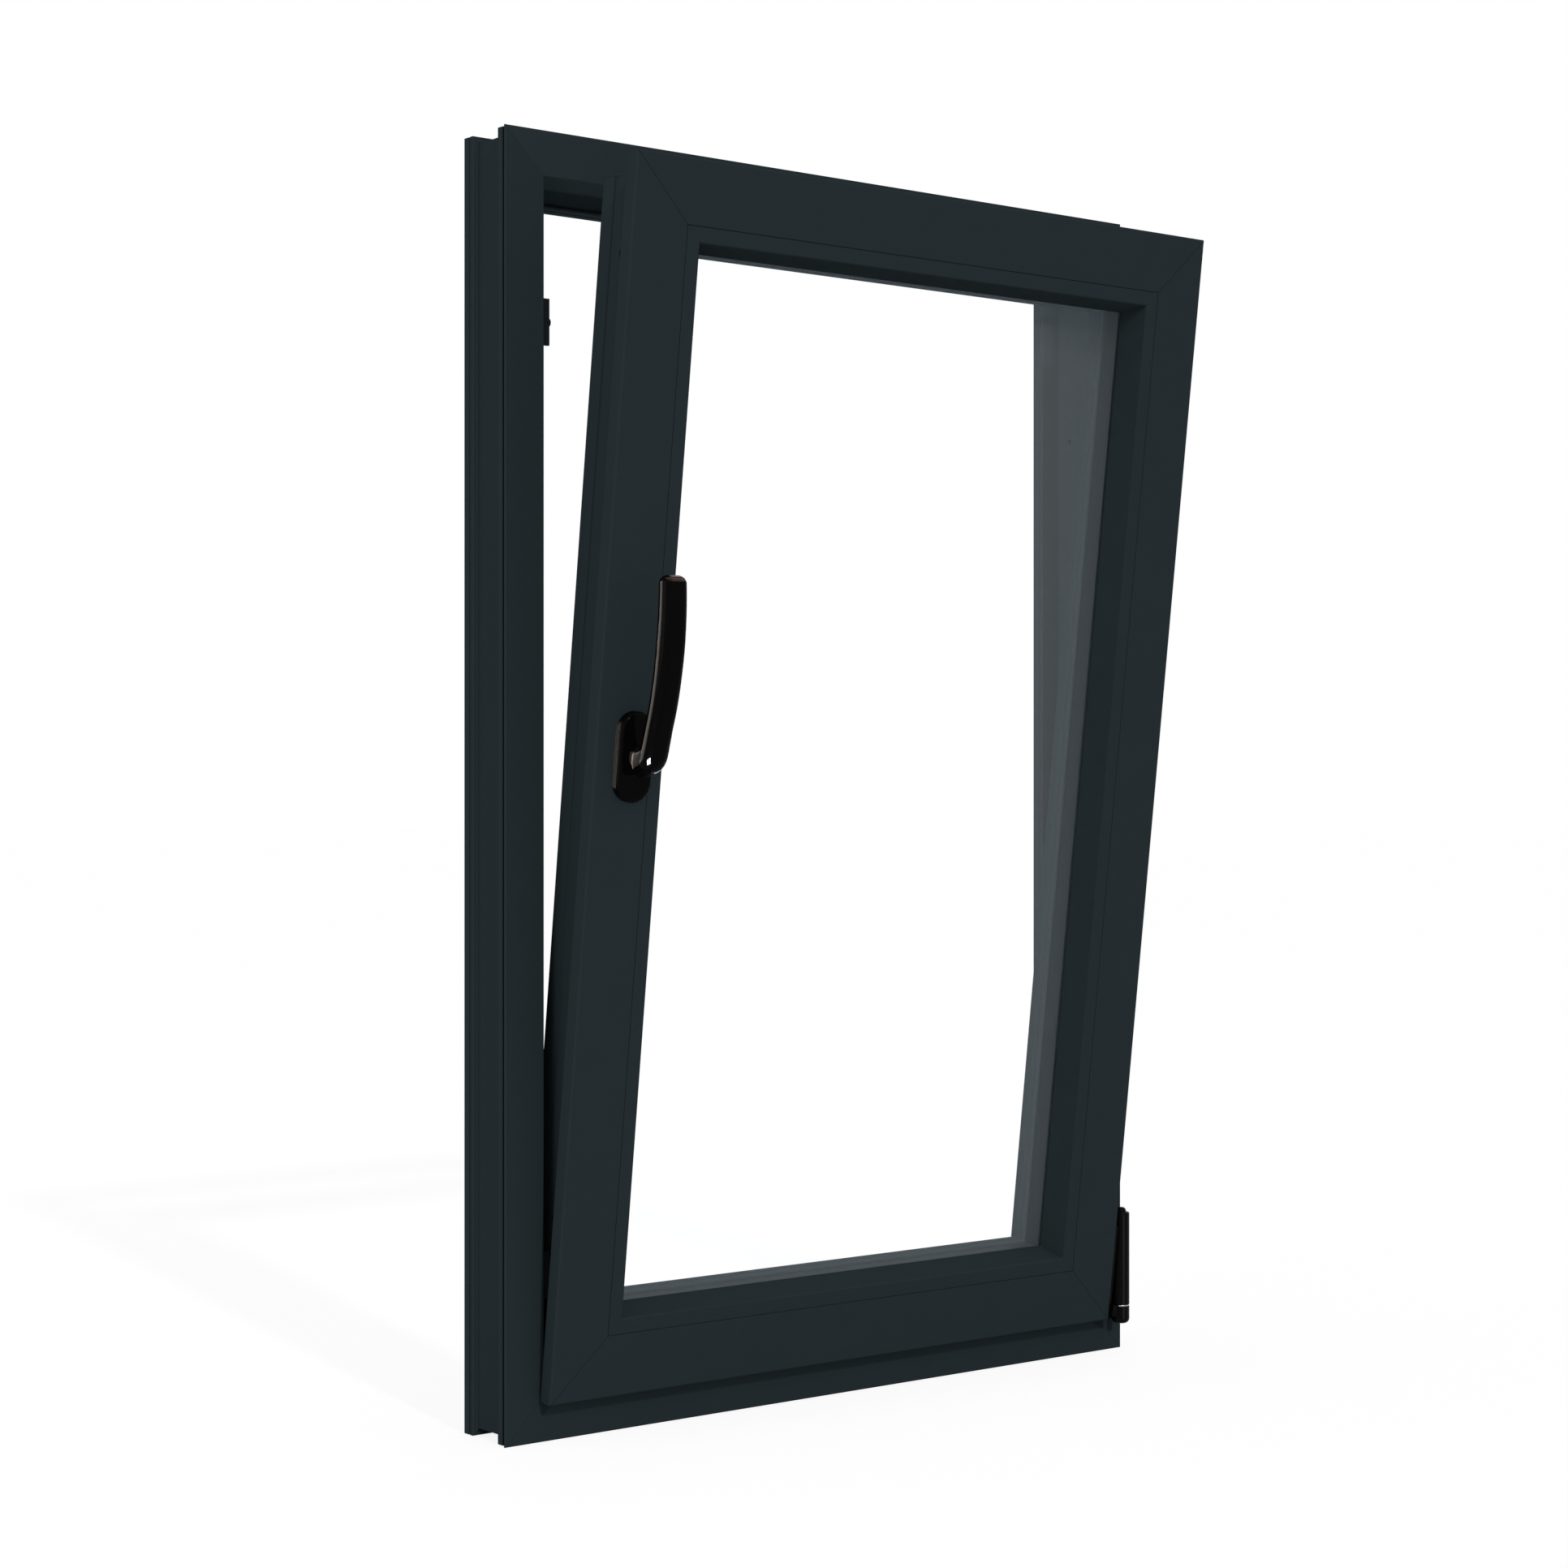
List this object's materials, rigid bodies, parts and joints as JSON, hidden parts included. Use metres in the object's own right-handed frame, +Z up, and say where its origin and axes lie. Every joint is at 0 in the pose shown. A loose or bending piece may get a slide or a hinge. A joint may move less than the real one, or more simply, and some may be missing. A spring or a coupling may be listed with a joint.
{
  "type": "tilt and turn window",
  "caption": "Inward tilt-and-turn window: mitred hollow frame and sash, double glazing, lever handle, corner hinge, tilt stay and sliding locking rods.",
  "frame": {"origin": "middle of the seat under the sill, where the frame sits on its base profile", "axes": "+X to the right seen from the room, +Y outdoors, +Z up"},
  "size_m": [0.74, 0.2321, 1.145],
  "materials": {
    "profile": "anthracite foil, satin",
    "galvanised_steel": "galvanised",
    "rubber": "matt",
    "dark_metal": "black, satin",
    "hardware_steel": "zinc plated",
    "glass": "clear",
    "spacer": "satin",
    "block_plastic": "matt",
    "handle_lacquer": "dark lacquer, glossy"
  },
  "bodies": {
    "frame": {"frame_sill": "profile", "frame_head": "profile", "frame_jamb_left": "profile", "frame_jamb_right": "profile", "frame_steel_sill": "galvanised_steel", "frame_steel_head": "galvanised_steel", "frame_steel_jamb_left": "galvanised_steel", "frame_steel_jamb_right": "galvanised_steel", "frame_seal": "rubber", "drain_caps": "profile", "keep_upper": "dark_metal", "keep_lower": "dark_metal", "keep_head": "dark_metal", "keep_tilt": "dark_metal", "frame_screws": "hardware_steel", "corner_bearing": "dark_metal", "stay_bearing": "dark_metal", "stay_pin": "hardware_steel", "stay_cap": "dark_metal"},
    "pivot": {"pivot_knuckle": "dark_metal", "hinge_cover": "dark_metal"},
    "stay": {"stay_arm": "hardware_steel"},
    "sash": {"sash_bottom_rail": "profile", "sash_top_rail": "profile", "sash_handle_stile": "profile", "sash_hinge_stile": "profile", "sash_steel_bottom_rail": "galvanised_steel", "sash_steel_top_rail": "galvanised_steel", "sash_steel_handle_stile": "galvanised_steel", "sash_steel_hinge_stile": "galvanised_steel", "bead_bottom": "profile", "bead_top": "profile", "bead_left": "profile", "bead_right": "profile", "pane_inner": "glass", "pane_outer": "glass", "edge_sealant": "rubber", "spacer_bar": "spacer", "glazing_seal_inner": "rubber", "glazing_seal_outer": "rubber", "flange_seal": "rubber", "setting_blocks": "block_plastic", "gearbox": "hardware_steel", "faceplate_side": "hardware_steel", "faceplate_top": "hardware_steel", "faceplate_bottom": "hardware_steel", "corner_drive_bottom": "hardware_steel", "corner_drive_top": "hardware_steel", "stay_guide": "hardware_steel", "hinge_leaf": "dark_metal", "hinge_leaf_screws": "hardware_steel", "rose_base": "hardware_steel", "handle_screws": "hardware_steel", "rose_cover": "handle_lacquer"},
    "handle": {"handle_lever": "handle_lacquer", "handle_spindle": "hardware_steel", "drive_hub": "hardware_steel"},
    "rod_side": {"drive_rod_side": "dark_metal"},
    "rod_top": {"drive_rod_top": "dark_metal"},
    "rod_bottom": {"drive_rod_bottom": "dark_metal"}
  },
  "joints": [
    {"name": "sash_turn", "type": "hinge", "parent": "frame", "child": "pivot", "pos_m": [0.351, -0.054, 0.0375], "axis": [0, 0, 1], "range_deg": [0, 90]},
    {"name": "sash_tilt", "type": "hinge", "parent": "pivot", "child": "sash", "pos_m": [0.337, -0.054, 0.0375], "axis": [1, 0, 0], "range_deg": [-7.1, 0]},
    {"name": "stay_swing", "type": "hinge", "parent": "pivot", "child": "stay", "pos_m": [0.351, -0.054, 1.0922], "axis": [0, 0, 1], "range_deg": [-22.04, 0]},
    {"name": "handle_turn", "type": "hinge", "parent": "sash", "child": "handle", "pos_m": [-0.2988, -0.12301, 0.59071], "axis": [0, 0.9923, 0.1236], "range_deg": [0, 180]},
    {"name": "rod_side_slide", "type": "slide", "parent": "sash", "child": "rod_side", "axis": [0, -0.1236, 0.9923], "range_m": [-0.03601, 0]},
    {"name": "rod_top_slide", "type": "slide", "parent": "sash", "child": "rod_top", "axis": [1, 0, 0], "range_m": [-0.03601, 0]},
    {"name": "rod_bottom_slide", "type": "slide", "parent": "sash", "child": "rod_bottom", "axis": [1, 0, 0], "range_m": [0, 0.03601]}
  ],
  "couplings": [
    {"joint": "stay_swing", "follows": "sash_tilt", "ratio": 3.104},
    {"joint": "rod_side_slide", "follows": "handle_turn", "m_per_rad": -0.011459},
    {"joint": "rod_top_slide", "follows": "handle_turn", "m_per_rad": -0.011459},
    {"joint": "rod_bottom_slide", "follows": "handle_turn", "m_per_rad": 0.011459}
  ]
}
